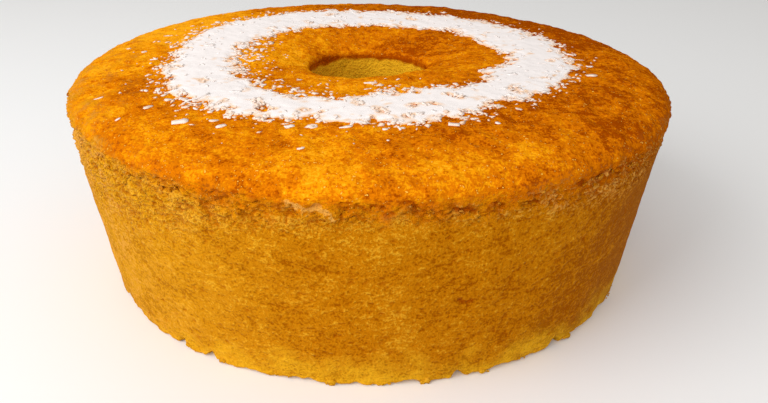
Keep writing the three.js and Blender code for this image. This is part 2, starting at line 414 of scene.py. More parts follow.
def lumps(points, size, seed):
    """Smooth lumps about one size across, from -1 to 1: every corner of a cubic lattice has a random slope,
    and the heights of the eight slopes round a point are blended by a fifth-power step."""
    at = points / (size * MM)
    cell = np.floor(at)
    share = at - cell
    blend = share**3 * (share * (6 * share - 15) + 10)
    height = np.zeros(points.shape[:-1])
    for corner in np.ndindex(2, 2, 2):
        slope = np.stack([draws(cell + corner, seed + axis) for axis in range(3)], -1) * 2 - 1
        weight = np.prod(np.where(corner, blend, 1 - blend), -1)
        height += weight * ((share - corner) * slope).sum(-1)
    return LUMP_GAIN * height


def lump_sum(points, table):
    """Lumps of several sizes added up, as the rows of a table say."""
    return sum(depth * lumps(points, size, seed) for size, depth, seed in table)


def pores(points, size, seed):
    """Nearness to the closest pore, and that pore's own draw: a cubic lattice holds one pore at a random
    place in each cell, and nearness falls from 1 at its middle to 0 at half a cell from it."""
    at = points / (size * MM)
    nearest = np.full(points.shape[:-1], np.inf)
    owner = np.zeros(points.shape[:-1])
    for corner in np.ndindex(3, 3, 3):
        cell = np.floor(at) + np.array(corner) - 1
        middle = cell + np.stack([draws(cell, seed + axis) for axis in range(3)], -1)
        distance = np.linalg.norm(at - middle, axis=-1)
        owner = np.where(distance < nearest, draws(cell, seed + 3), owner)
        nearest = np.minimum(nearest, distance)
    return np.clip(1 - 2 * nearest, 0, 1), owner


def step(low, high, value):
    """Smooth step: 0 below low, 1 above high, and a cubic rise between."""
    share = np.clip((value - low) / (high - low), 0, 1)
    return share * share * (3 - 2 * share)


def sector(name, angle):
    """How far a way lies in one of the sectors, from 0 to 1: a smooth step of the cosine of its turn."""
    faces, start, full = SECTORS[name]
    return step(start, full, np.cos(angle - np.radians(faces)))


def band(name, distance):
    """How far a distance in metres lies in one of the bands, from 0 to 1: a smooth step."""
    start, full = BANDS[name]
    return step(start * MM, full * MM, distance)


def waves(table, angle):
    """Sum of cosine waves that go round the cake, in mm."""
    return sum(depth * np.cos(times * angle + phase) for times, depth, phase in table)


def turn_from(degrees, angle):
    """The shortest turn in radians from a way in degrees to an angle in radians."""
    return (angle - np.radians(degrees) + np.pi) % (2 * np.pi) - np.pi


def unit(vectors):
    """Vectors brought to a length of 1."""
    return vectors / np.linalg.norm(vectors, axis=-1, keepdims=True)


def level_way(angle):
    """Level unit vectors that point in some ways."""
    return np.stack([np.cos(angle), np.sin(angle), 0 * angle], -1)


def bezier(corners, steps, start=0.0, end=1.0):
    """Points at even lengths along a stretch of the Bezier curve of two to four corners, without its first
    point: the corners are blended pairwise until one point is left for each of many parameters, then the
    lengths are evened."""
    share = np.linspace(start, end, CURVE_SAMPLES)[:, None]
    level = [np.array(corner, float) for corner in corners]
    while len(level) > 1:
        level = [(1 - share) * a + share * b for a, b in zip(level, level[1:])]
    along = np.concatenate([[0], np.cumsum(np.linalg.norm(np.diff(level[0], axis=0), axis=1))])
    even = np.linspace(0, along[-1], steps + 1)[1:]
    return np.stack([np.interp(even, along, level[0][:, axis]) for axis in range(2)], -1)


def chain(*stretches):
    """The points of stretches that follow each other, each given as its corners, its number of steps and,
    where only part of the curve is used, the parameters where that part starts and ends."""
    return np.concatenate([bezier(*stretch) for stretch in stretches])


def outward(section):
    """Unit normals of a closed anticlockwise section: its direction turned a quarter clockwise."""
    ahead = np.roll(section, -1, axis=0) - np.roll(section, 1, axis=0)
    return unit(np.stack([ahead[:, 1], -ahead[:, 0]], -1))


def spun(section, around):
    """A section of radii and heights turned about Z in a number of steps, with one row for each of its
    points."""
    angle = np.linspace(0, 2 * np.pi, around, endpoint=False)
    radius, height = section[:, :1], section[:, 1:]
    return np.stack([radius * np.cos(angle), radius * np.sin(angle), height + 0 * angle], -1)


def section_point(diameter, height):
    """A corner of a section from a diameter and a height."""
    return (diameter / 2, height)


def side_point(sizes, height):
    """The smooth side at a height: on the line from the foot of the side to the rim."""
    share = (height - sizes.base_round) / (sizes.rim_height - sizes.base_round)
    wider = sizes.rim_diameter - sizes.base_diameter
    return section_point(sizes.base_diameter + wider * share, height)


def crown_corners(sizes):
    """Corners of the crown's two curves, from the widest place to the top and from there to the lip."""
    top = sizes.crown_height
    crown = section_point(sizes.crown_diameter, top)
    outer = (
        section_point(sizes.diameter, sizes.widest_height),
        section_point(sizes.diameter, top - sizes.shoulder_drop),
        section_point(sizes.crown_diameter + sizes.level_out, top),
        crown,
    )
    inner = (
        crown,
        section_point(sizes.crown_diameter - sizes.level_in, top),
        section_point(sizes.hole_top_diameter + sizes.lip_flare, top - sizes.lip_drop),
        section_point(sizes.hole_top_diameter, sizes.lip_height),
    )
    return outer, inner


def lip_rise(sizes, points):
    """How far points are raised because the hole's lip is higher at the front, in metres: the tilt times
    how far forward a point faces, less from the lip outwards over the crown, and nothing at the base."""
    radius = np.hypot(points[..., 0], points[..., 1])
    near_hole = step(sizes.hole_top_diameter, sizes.hole_top_diameter / 2, radius)
    return -sizes.lip_tilt * near_hole * points[..., 2] / sizes.lip_height * points[..., 1] / radius


def crown_relief(points, angle, lumpy=1.0):
    """How far the crown stands out from its smooth section, in mm: the waves of the bake and lumps from the
    size of a fingertip downwards, or a share of them."""
    return waves(CROWN_WAVES, angle) + lumpy * lump_sum(points, CROWN_LUMPS)


def rim_crags(sizes, points, angle):
    """The crumb that broke open along the rim: how broken it is from 0 to 1, its relief in mm and its
    crevices from 0 to 1. It is most broken at the rim, down to a fifth of its reach, which wanders and is
    longer at the left and the right, and it also rises above the rim. The relief is the absolute value of
    lumps, cut off at the top, so that flat crumbs meet in sharp crevices, with finer lumps on it and larger
    ones under it. The edge is worn down at the left."""
    below = (sizes.rim_height - points[..., 2]) / MM
    left = sector("crags_left", angle)
    reach = CRAG_REACH + CRAG_REACH_LEFT * left + CRAG_REACH_RIGHT * sector("crags_right", angle)
    reach = reach + lump_sum(points * LEVEL, RIM_WANDER)
    rise = CRAG_RISE * (1 + 0.6 * sector("rise_right", angle) + 1.2 * left)
    broken = step(reach, reach / 5, below) * step(-rise, 0, below)
    crumb = np.minimum(np.abs(lump_sum(points * CRUMB_STRETCH, CRAG_LUMPS)), CRAG_FLAT)
    sunk = crumb - (0.7 + 0.3 * left) * CRAG_FLAT
    deep = 1 + 0.4 * left - 0.25 * sector("crags_front", angle)
    relief = broken * deep * (CRAG_DEPTH * sunk + lump_sum(points * CRUMB_STRETCH, GRIT_LUMPS))
    edge = step(CRAG_REACH, 0, below) * step(-2 * CRAG_RISE, 0, below)
    relief = relief + edge * (lump_sum(points, RIM_LUMPS) - RIM_WEAR * sector("worn", angle))
    gaps = step(*CREVICE_GAPS, lump_sum(points, CREVICE_LUMPS))
    return broken, relief, broken * gaps * step(*CREVICES, crumb)


def stroke(sizes, points, angle, lines, half_width):
    """Nearness from 0 to 1 to lines drawn on the rim or the side, each between two places: 1 within half
    the half width of a line, falling to 0 at its ragged edge."""
    nearness = np.zeros(angle.shape)
    ragged = lump_sum(points, STROKE_EDGE)
    height = points[..., 2] / MM + lump_sum(points * LEVEL, STROKE_WANDER)
    radius = sizes.rim_diameter / 2 / MM
    for (first_way, first_height), (last_way, last_height) in lines:
        at = np.stack([turn_from(first_way, angle) * radius, height - first_height], -1)
        line = np.array([np.radians(last_way - first_way) * radius, last_height - first_height])
        share = np.clip(at @ line / (line @ line), 0, 1)
        distance = np.linalg.norm(at - share[..., None] * line, axis=-1) / half_width + ragged
        nearness = np.maximum(nearness, step(1, 0.5, distance))
    return nearness


def base_breaks(sizes, angle):
    """How much broke away at places along the edge of the base, in mm: for each a smooth wedge that is
    deepest in its middle."""
    radius = sizes.base_diameter / 2 / MM
    return sum(
        depth * step(half_length, 0, np.abs(turn_from(way, angle)) * radius)
        for way, half_length, depth in BASE_BREAKS
    )


def base_loss(sizes, points, angle):
    """How much is missing along the edge of the base, in mm: lumpy chips, and more where it broke away."""
    chips = np.maximum(-CHIP_BULGE, lump_sum(points, BASE_CHIPS))
    return (chips + base_breaks(sizes, angle)) * band("chips", points[..., 2])


def crown_height(sizes, x, y, lumpy=1.0):
    """Height of the crown's surface over a place, in metres: its smooth section at that radius, with the
    rise of the lip, the waves of the bake and its lumps, or a share of them."""
    outer, inner = crown_corners(sizes)
    section = chain((outer, CROWN_SAMPLES), (inner, CROWN_SAMPLES))[::-1]
    points = np.stack([x, y, np.interp(np.hypot(x, y), section[:, 0], section[:, 1])], -1)
    relief = crown_relief(points, np.arctan2(y, x), lumpy)
    return points[..., 2] + lip_rise(sizes, points) + MM * relief


def flat_points(x, y):
    """Points at height 0."""
    return np.stack([x, y, 0 * x], -1)


def bulges(table, angle):
    """How far an edge of the ring bulges outwards, in mm: a sum of bells round some ways."""
    return sum(
        distance * np.exp(-((turn_from(way, angle) / np.radians(spread)) ** 2))
        for way, spread, distance in table
    )


def coconut_edge(coconut, x, y):
    """How far inside the ring of coconut a place is, in mm, less than 0 outside: the distance to the nearer
    of its edges, which both wander."""
    radius = np.hypot(x, y) / MM
    angle = np.arctan2(y, x)
    inner = coconut.inner_radius / MM + waves(COCONUT_INNER, angle) + bulges(INNER_BULGES, angle)
    outer = coconut.outer_radius / MM + waves(COCONUT_OUTER, angle) + bulges(OUTER_BULGES, angle)
    return np.minimum(radius - inner, outer - radius) + lump_sum(flat_points(x, y), COCONUT_WANDER)


def coconut_margin(coconut, x, y):
    """How far inside the coconut itself a place is, in mm, less than 0 where there is none: as far as
    inside its ring, but less round thin places, more of them in front and along the fringe, and round the
    holes that it has near its edges."""
    edge = coconut_edge(coconut, x, y)
    points = flat_points(x, y)
    angle = np.arctan2(y, x)
    fringe = bulges((INNER_FRINGE,), angle) / INNER_FRINGE[2]
    frayed = fringe * band("frayed", np.hypot(x, y) - coconut.inner_radius)
    thin = lump_sum(points, COCONUT_THIN) + 5.25 - 1.4 * sector("coconut_front", angle)
    thin = thin - frayed * (4.5 - lump_sum(points, COCONUT_FRAYS))
    holes = lump_sum(points, COCONUT_HOLES) + 1.2 + 0.5 * edge
    return np.minimum(np.minimum(edge, thin), holes)


def coconut_layer(coconut, x, y):
    """Depth of the layer of coconut over a place, in metres, less than 0 where it has none: it grows from
    nearly half at the edges of the ring to all of it inside, and is a little lumpy there."""
    risen = step(0, LAYER_FULL, coconut_edge(coconut, x, y))
    bumps = MM * risen * lump_sum(flat_points(x, y), COCONUT_BUMPS)
    depth = coconut.depth * (0.45 + 0.55 * risen) + bumps
    return np.where(coconut_margin(coconut, x, y) > LAYER_STARTS, depth, -LAYER_BELOW * MM)


def coconut_top(sizes, coconut, x, y):
    """Height of the top of the coconut over a place, in metres, or somewhat less than the crown's where it
    has none: the coconut fills the hollows of the crown, so about a third of the crown's lumps comes
    through, and it is nowhere thinner than about a third of its depth."""
    crown = crown_height(sizes, x, y)
    depth = coconut_layer(coconut, x, y)
    filled = np.maximum(crown + 0.3 * depth, crown_height(sizes, x, y, 0.35) + depth)
    return np.where(depth > 0, filled, crown + depth)


def new_piece(name, points, faces, material, attributes, smooth):
    """A mesh piece that rides on the cake and stands for its solid, from arrays of points and of faces with
    the same number of corners; attributes hold one number for each point. A smooth piece is sharp only
    where it folds."""
    mesh = bpy.data.meshes.new(name)
    mesh.vertices.add(len(points))
    mesh.vertices.foreach_set("co", points.astype(np.float32).ravel())
    mesh.loops.add(faces.size)
    mesh.loops.foreach_set("vertex_index", faces.astype(np.int32).ravel())
    mesh.polygons.add(len(faces))
    starts = np.arange(0, faces.size, faces.shape[1], dtype=np.int32)
    mesh.polygons.foreach_set("loop_start", starts)
    for attribute, values in attributes.items():
        painted = mesh.attributes.new(attribute, "FLOAT", "POINT")
        painted.data.foreach_set("value", np.ravel(values).astype(np.float32))
    mesh.update(calc_edges=True)
    if mesh.validate():
        raise RuntimeError(f"the mesh of {name} had to be repaired")
    if smooth:
        mesh.shade_smooth()
        mesh.set_sharp_from_angle(angle=FOLD_ANGLE)
    mesh.materials.append(material)
    piece = bpy.data.objects.new(name, mesh)
    bpy.context.scene.collection.objects.link(piece)
    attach(piece, BODY)
    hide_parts(NODE)
    return piece


def closed_grid(rows, columns):
    """Faces of a grid that closes on itself both ways, outward for a section that runs anticlockwise."""
    row, column = np.divmod(np.arange(rows * columns), columns)
    this_row = row * columns
    next_row = (row + 1) % rows * columns
    next_column = (column + 1) % columns
    corners = [this_row + column, this_row + next_column, next_row + next_column, next_row + column]
    return np.stack(corners, -1)


def turned_piece(name, points, material, attributes):
    """A piece from rows of points that close on themselves both ways."""
    faces = closed_grid(*points.shape[:2])
    return new_piece(name, points.reshape(-1, 3), faces, material, attributes, True)


def repeated_piece(name, points, faces, material, attributes):
    """A piece of many like bits: points as bits by corners by 3, and the faces of one bit; an attribute
    holds one number for each bit."""
    bits, corners = points.shape[:2]
    all_faces = (faces[None] + np.arange(bits)[:, None, None] * corners).reshape(-1, faces.shape[1])
    spread = {key: np.repeat(values, corners) for key, values in attributes.items()}
    return new_piece(name, points.reshape(-1, 3), all_faces, material, spread, False)


def add(tree, kind, inputs=(), output=None, **settings):
    """Adds a node with its settings and links, and gives one of its outputs, by default the first. An input
    takes a value or another node's output; inputs come in the node's order, or by their names."""
    node = tree.nodes.new("ShaderNode" + kind)
    for name, value in settings.items():
        setattr(node, name, value)
    pairs = zip([socket for socket in node.inputs if socket.enabled], inputs)
    if isinstance(inputs, dict):
        pairs = [(node.inputs[name], value) for name, value in inputs.items()]
    for socket, value in pairs:
        if isinstance(value, bpy.types.NodeSocket):
            tree.links.new(value, socket)
        else:
            socket.default_value = value
    outputs = [socket for socket in node.outputs if socket.enabled and output in (None, socket.name)]
    return outputs[0] if outputs else None


def new_material(name):
    """An empty node material: the material, its tree and its Object coordinates."""
    material = bpy.data.materials.new(name)
    material.use_nodes = True
    tree = material.node_tree
    tree.nodes.clear()
    return material, tree, add(tree, "TexCoord", output="Object")


def finish_material(tree, inputs):
    """Ends a material in one Principled shader with these inputs."""
    add(tree, "OutputMaterial", (add(tree, "BsdfPrincipled", inputs),))


def rgba(values):
    """A linear colour with full alpha."""
    return (*values, 1.0)


def per(millimetres):
    """Scale of a pattern whose features are this far apart."""
    return 1 / (millimetres * MM)


def baked_cake(colours):
    """Plain cake baked in a greased tin. Its crown browned in the open: mottled from yellow to brown in
    patches the size of a coin and in grains, with tiny glints painted as pale specks in place of
    highlights.
    Its side baked against the tin: ochre, dull, finely grained and pitted. It is dry and rough along the
    rim, and pale yellow where it never browned, along the foot and in the hole, and paler towards the left.
    Its colours also hold painted light and shade: paler on the lit left of the side, darker on the right,
    and darker in pores, clefts, cracks and under the lip of the hole, together with the darker crumb there."""
    material, tree, where = new_material("baked_cake")
    painted = {
        name: add(tree, "Attribute", output="Fac", attribute_name=name)
        for name in ("crown", "browning", "broken", "dry", "inside", "hollow")
    }

    # Patterns, from grains to coin-sized patches, and the share of each in the crown's and the side's tone
    flat = add(tree, "Mapping", {"Vector": where, "Scale": tuple(CRUMB_STRETCH)})
    grain = add(tree, "TexNoise", (where, per(0.8), 1.0))
    crumbs = add(tree, "TexNoise", (flat, per(1.9), 2.0, 0.6))
    patterns = (
        (grain, 1.7, 1.7),
        (crumbs, 1.7, 1.7),
        (add(tree, "TexNoise", (flat, per(4.5), 2.0)), 1.5, 1.1),
        (add(tree, "TexNoise", (where, per(12), 2.0)), 1.2, 0.7),
    )
    fine, wool = (-sum(pattern[column] for pattern in patterns) / 2 for column in (1, 2))
    for pattern, share, wool_share in patterns:
        fine = add(tree, "Math", (pattern, share, fine), operation="MULTIPLY_ADD")
        wool = add(tree, "Math", (pattern, wool_share, wool), operation="MULTIPLY_ADD")
    bare = add(tree, "Math", (1.0, painted["crown"]), operation="SUBTRACT")
    side = add(tree, "Math", (bare, painted["inside"]), operation="SUBTRACT", use_clamp=True)

    # The crown: each colour covers those before it from one value of a pattern to another, up to a share
    baked = add(tree, "Math", (fine, painted["browning"]), operation="ADD")
    top = rgba(colours.yellow)
    for pattern, start, full, most, tone in (
        (baked, -0.65, -0.3, 1.0, colours.gold),
        (baked, -0.15, 0.2, 1.0, colours.amber),
        (baked, 0.3, 1.05, 1.0, colours.brown),
        (crumbs, 0.61, 0.7, 0.5, colours.freckle),
        # Painted highlights: pale glints on the grains
        (grain, 0.7, 0.77, 0.9, colours.glint),
    ):
        limits = (pattern, start, full, 0.0, most)
        cover = add(tree, "MapRange", limits, interpolation_type="SMOOTHSTEP")
        top = add(tree, "Mix", (cover, top, rgba(tone)), data_type="RGBA")

    # The side and the unbrowned crumb
    toned = add(tree, "Math", (wool, painted["browning"]), operation="SUBTRACT")
    darker = add(tree, "MapRange", (toned, 0.0, -0.7), interpolation_type="SMOOTHSTEP")
    lighter = add(tree, "MapRange", (toned, 0.05, 0.7), interpolation_type="SMOOTHSTEP")
    wall = rgba(colours.side)
    for cover, tone in ((darker, colours.side_dark), (lighter, colours.side_pale)):
        wall = add(tree, "Mix", (cover, wall, rgba(tone)), data_type="RGBA")
    pale = add(tree, "Mix", (darker, rgba(colours.crumb), rgba(colours.crumb_dark)), data_type="RGBA")
    wall = add(tree, "Mix", (painted["inside"], wall, pale), data_type="RGBA")

    # Over both: dry flakes, clefts between grains, scraped places and pits. Each pattern counts as much as
    # is painted there, and pits lie wherever hollows are painted besides. The dry colour also paints light
    # on the lit left of the side; the pit colour is partly the darker crumb and partly painted shade in
    # clefts, pores, crevices, cracks and under the lip.
    tint = add(tree, "Mix", (painted["crown"], wall, top), data_type="RGBA")
    for pattern, start, full, most, amount, besides, tone in (
        (fine, 0.0, 0.5, 1.0, painted["dry"], 0.0, colours.dry),
        (grain, 0.5, 0.35, 0.4, painted["broken"], 0.0, colours.pit),
        (painted["dry"], 1.0, 2.2, 0.65, 1.0, 0.0, colours.scrape),
        (wool, -0.7, -1.2, 0.7, side, painted["hollow"], colours.pit),
    ):
        limits = (pattern, start, full, 0.0, most)
        cover = add(tree, "MapRange", limits, interpolation_type="SMOOTHSTEP")
        cover = add(tree, "Math", (cover, amount, besides), operation="MULTIPLY_ADD", use_clamp=True)
        tint = add(tree, "Mix", (cover, tint, rgba(tone)), data_type="RGBA")

    # Fine relief: least on the crown, more on the side and most where the rim is broken
    rough = add(tree, "Math", (bare, 0.13 * MM, 0.17 * MM), operation="MULTIPLY_ADD")
    rough = add(tree, "Math", (painted["broken"], 0.26 * MM, rough), operation="MULTIPLY_ADD")
    bump = add(tree, "Bump", {"Height": fine, "Strength": 1.0, "Distance": rough})
    # Weight of the sheen lobe on the bare side
    sheen_and_painted_glare = add(tree, "Math", (bare, 0.16), operation="MULTIPLY")
    sheen = {"Sheen Weight": sheen_and_painted_glare, "Sheen Roughness": 0.3, "Sheen Tint": rgba(colours.sheen)}
    dull = {"Roughness": 0.8, "Specular IOR Level": 0.0, **sheen}
    finish_material(tree, {"Base Color": tint, "Normal": bump, **dull})
    return material


def dry_coconut(colours):
    """Desiccated coconut, shredded and dried: matt white, and tinted by the crust where it lies thinly. On
    loose bits the warm tint is partly painted light bounced from the crust.
    """
    material, tree, where = new_material("desiccated_coconut")
    shade = add(tree, "Attribute", output="Fac", attribute_name="shade")
    fibre = add(tree, "TexNoise", (where, per(0.8), 2.0))
    white, tinted = rgba(colours.coconut), rgba(colours.coconut_shade)
    tint = add(tree, "Mix", (shade, white, tinted), data_type="RGBA")
    bump = add(tree, "Bump", {"Height": fibre, "Strength": 0.3, "Distance": 0.1 * MM})
    matt = {"Roughness": 0.8, "Specular IOR Level": 0.1}
    finish_material(tree, {"Base Color": tint, "Normal": bump, **matt})
    return material


def cake_section(sizes):
    """The whole section, anticlockwise: the wall of the hole, the base, its rounded edge, the side, the
    broken rim, the crown and the lip. Gives its points and the last row of each of the three pieces that it
    is cut into."""
    outer, inner = crown_corners(sizes)
    lip_low = section_point(
        sizes.hole_top_diameter + CUT_WIDER * MM, sizes.lip_height - CUT_BELOW_LIP * MM
    )
    foot = section_point(sizes.hole_base_diameter, 0)
    edge = section_point(sizes.base_diameter - 2 * sizes.base_round, 0)
    base_corner = section_point(sizes.base_diameter, 0)
    side_foot = section_point(sizes.base_diameter, sizes.base_round)
    side_top = side_point(sizes, CUT_BELOW_RIM * MM)
    rim = section_point(sizes.rim_diameter, sizes.rim_height)
    pieces = (
        (
            ((lip_low, foot), ROWS["hole"]),
            ((foot, edge), ROWS["base"]),
            ((edge, base_corner, side_foot), ROWS["base_edge"]),
            ((side_foot, side_top), ROWS["side"]),
        ),
        (
            ((side_top, rim), ROWS["below_rim"]),
            ((rim, outer[0]), ROWS["rim"]),
            (outer, ROWS["shoulder"], 0.0, CUT_ABOVE_RIM),
        ),
        (
            (outer, ROWS["crown"], CUT_ABOVE_RIM, 1.0),
            (inner, ROWS["inner_crown"]),
            ((inner[-1], lip_low), ROWS["lip"]),
        ),
    )
    sections = [chain(*stretches) for stretches in pieces]
    return np.concatenate(sections), np.cumsum([len(section) for section in sections]) - 1


def under_lip(sizes, points):
    """How far below the lip points of the hole's wall are, from 0 to 1."""
    radius = np.hypot(points[..., 0], points[..., 1])
    inside = radius <= sizes.crown_diameter / 2
    return inside * band("under_lip", points[..., 2] - sizes.lip_height)


def crown_spots(points):
    """How much more the crown baked at its own spots: each fades out from its middle as a bell."""
    spots = 0 * points[..., 0]
    for x, y, size, amount in CROWN_SPOTS:
        distance = np.hypot(points[..., 0] - x * MM, points[..., 1] - y * MM) / (size * MM)
        spots = spots + amount * np.exp(-distance**2)
    return spots


def crown_browning_and_shade(sizes, points, angle, broken):
    """How brown the crown is at points of the smooth surface: its patches and spots, and an amount for
    each of its regions, bent over by a hyperbolic tangent so that the sum stays below a limit. Towards the
    right and the far right the amount is partly browner crust and partly painted shade where the light
    falls off; under the lip of the hole it is partly painted shade."""
    radius = np.hypot(points[..., 0], points[..., 1])
    outside = radius > sizes.crown_diameter / 2
    left = sector("left", angle)
    right = sector("right", angle)
    behind = sector("behind", angle) * band("behind", radius)
    inner = band("inner", radius)
    turned = outside * band("turned", points[..., 2])
    regions = (
        (0.17, 1),
        (-0.15, outside * band("golden", radius) * band("golden_end", radius)),
        # Right: partly browner crust, partly painted shade where the light falls off
        (0.52, right),
        (0.6, sector("back", angle) * band("back", radius) * (1 - left / 2)),
        (0.22, left),
        (-0.5, left * sector("not_front", angle)),
        # Far right behind the ring: partly browner crust, partly painted shade where the light falls off
        (0.05, behind),
        (0.95, behind * np.cos(angle)),
        (-0.2, inner),
        (-0.12, inner * right),
        (0.35, inner * sector("inner_back", angle)),
        (0.15, broken * (1 - left)),
        (0.12, turned),
        (-0.37, turned * left),
        # Under the lip of the hole: partly brown crust, partly painted shade under the overhang
        (0.8, under_lip(sizes, points)),
    )
    tone = lump_sum(points, CROWN_PATCHES) + crown_spots(points)
    tone = tone + sum(amount * region for amount, region in regions)
    return MOST_BAKED * np.tanh(tone / MOST_BAKED)


def side_browning_and_shade(points, angle, broken, outside):
    """How dark the side's tone is at points of the smooth surface: its lumpy tones, more at the unbroken
    left, less along the broken front, and more at the right as painted shade on the side turned from the
    light. The hole has only half of the tones."""
    tones = lump_sum(points * CRUMB_STRETCH, SIDE_TONES)
    # Darker at the right: painted shade on the side turned from the light
    more = 0.6 * sector("side_right", angle) + 0.3 * sector("left", angle) * (1 - broken)
    less = 0.25 * broken * sector("side_front", angle)
    return np.where(outside, tones + more - less, tones / 2)


def baked_paint(sizes, points, angle, broken):
    """What the colours follow, at points of the smooth surface: where the crown's brown skin is; how brown
    it and the side are, with painted shade at the right and under the lip of the hole; how broken and how
    dry the rim is, with painted light on the lit left of the side mixed into the dry colour; where the
    crumb is pale; and what is hollow, with painted shade under the lip."""
    height = points[..., 2]
    outside = np.hypot(points[..., 0], points[..., 1]) > sizes.crown_diameter / 2
    left = sector("left", angle)
    ragged = MM * lump_sum(points, SKIN_EDGE)
    skin = band("skin", height + ragged - sizes.rim_height - SKIN_LEFT * MM * left)
    lip_line = sizes.lip_height - MM * (LIP_SKIN + LIP_SKIN_SIDES * np.abs(np.cos(angle)))
    lip_skin = band("lip_skin", height + ragged / 4 - lip_line)
    crown = np.where(outside, skin, lip_skin)
    crown_tone = crown_browning_and_shade(sizes, points, angle, broken)
    side_tone = side_browning_and_shade(points, angle, broken, outside)
    foot = band("foot", height + MM * lump_sum(points, FOOT_EDGE))
    pale_foot = (0.6 + 0.35 * sector("right", angle)) * foot
    # Painted light: the side's lit left is paler, most at the far left, mixed in with the dry colour
    sheen_and_painted_glare = (1 - crown) * (0.45 * left + sector("far_left", angle) * (0.8 + 0.5 * broken))
    return {
        "crown": crown,
        "browning": crown * crown_tone + (1 - crown) * side_tone,
        "broken": outside * broken,
        "dry": broken * (0.14 + 0.86 * sector("dry_right", angle)) + sheen_and_painted_glare,
        # Paler crumb colour along the foot, in the hole and somewhat towards the left
        "inside": np.where(outside, np.maximum(pale_foot, 0.5 * sector("paler_left", angle)), 1),
        # Painted shade under the lip of the hole, in the pit colour
        "hollow": 0.5 * under_lip(sizes, points) * lip_skin,
    }


def baked_surface(sizes, points, normals):
    """Rows of the baked surface and what its colours follow, from rows of its smooth section turned about
    Z. Points move along their normals: by the crown's relief where they face up, by the side's where they
    face out, by the crags of the rim, and inwards at pores, at cracks and at the chipped edge of the base.
    What rests stays flat, apart from the edge where it broke away."""
    angle = np.arctan2(points[..., 1], points[..., 0])
    height = points[..., 2]
    radius = np.hypot(points[..., 0], points[..., 1])
    outside = radius > sizes.crown_diameter / 2
    upward = np.maximum(0, normals[..., 2])
    sideways = 1 - np.abs(normals[..., 2])
    broken, crags, crevices = rim_crags(sizes, points, angle)
    cracks = stroke(sizes, points, angle, CRACKS, CRACK_HALF_WIDTH)
    fine_cracks = stroke(sizes, points, angle, FINE_CRACKS, FINE_CRACK_HALF_WIDTH)
    torn = np.maximum(cracks, FINE_CRACK_SHARE * fine_cracks)
    pore, owner = pores(points * CRUMB_STRETCH, PORE_SPACING, PORE_SEED)
    pit = outside * pore * sideways * step(*PORES_SHOW, owner + 0.25 * broken)

    side = lump_sum(points, SIDE_LUMPS) + outside * waves(ROUND_WAVES, angle)
    relief = upward * crown_relief(points, angle) + sideways * side - PORE_DEPTH * pit
    lost = CREVICE_DEPTH * crevices + CRACK_DEPTH * torn + base_loss(sizes, points, angle)
    relief = relief + outside * (crags - lost)
    rests = height < RESTING * MM
    facing = np.where(rests[..., None], points * LEVEL / radius[..., None], normals)
    moved = points + facing * np.where(rests & ~outside, 0, MM * relief)[..., None]
    base_edge = band("base_edge", radius - (sizes.base_diameter / 2 - sizes.base_round))
    lifted = MM * base_breaks(sizes, angle) * base_edge * band("lifted", height)
    clear = np.maximum(moved[..., 2], LEAST_HEIGHT * MM) + lip_rise(sizes, points)
    moved[..., 2] = np.where(rests, 0, clear) + lifted

    paint = baked_paint(sizes, points, angle, broken)
    scraped = stroke(sizes, points, angle, RIM_SCRAPES, SCRAPE_HALF_WIDTH)
    paint["dry"] = outside * (paint["dry"] + 2 * scraped)
    # Darker in pores, crevices and cracks: partly the darker crumb, partly painted shade in these recesses
    for hollow in (0.8 * pit, 0.6 * outside * crevices, 0.9 * outside * torn):
        paint["hollow"] = np.maximum(paint["hollow"], hollow)
    return moved, paint


def baked_piece(name, sizes, order, material):
    """One of the pieces that the baked surface is cut into. Its rows run from the last row of the piece
    before it to its own last row, and it is closed by two rows that lie under its own surface."""
    section, last = cake_section(sizes)
    first = last[order - 1] - (len(section) if order == 0 else 0)
    rows = np.arange(first, last[order] + 1)
    normals = spun(outward(section)[rows], AROUND)
    points, paint = baked_surface(sizes, spun(section[rows], AROUND), normals)
    under = points - FOLD_DEPTH * MM * normals
    points = np.concatenate([points, under[FOLD_ROWS]])
    paint = {key: np.concatenate([values, values[FOLD_ROWS]]) for key, values in paint.items()}
    turned_piece(name, points, material, paint)


class CAKE_OT_bake_crumb(bpy.types.Operator):
    """Makes the crumb: the base, the pitted side and the wall of the hole"""

    bl_idname = "cake.bake_crumb"
    bl_label = "Bake crumb"

    def execute(self, context):
        sizes = context.scene.cake_sizes
        baked_piece("cake_crumb", sizes, 0, baked_cake(context.scene.cake_colours))
        return {"FINISHED"}


class CAKE_OT_break_rim(bpy.types.Operator):
    """Makes the rim, where the crumb broke open between the side and the crown"""

    bl_idname = "cake.break_rim"
    bl_label = "Break rim"

    def execute(self, context):
        sizes = context.scene.cake_sizes
        baked_piece("cake_rim", sizes, 1, bpy.data.materials["baked_cake"])
        return {"FINISHED"}


class CAKE_OT_brown_crown(bpy.types.Operator):
    """Makes the browned crust of the crown, down over the lip of the hole"""

    bl_idname = "cake.brown_crown"
    bl_label = "Brown crown"

    def execute(self, context):
        sizes = context.scene.cake_sizes
        baked_piece("cake_crown", sizes, 2, bpy.data.materials["baked_cake"])
        return {"FINISHED"}


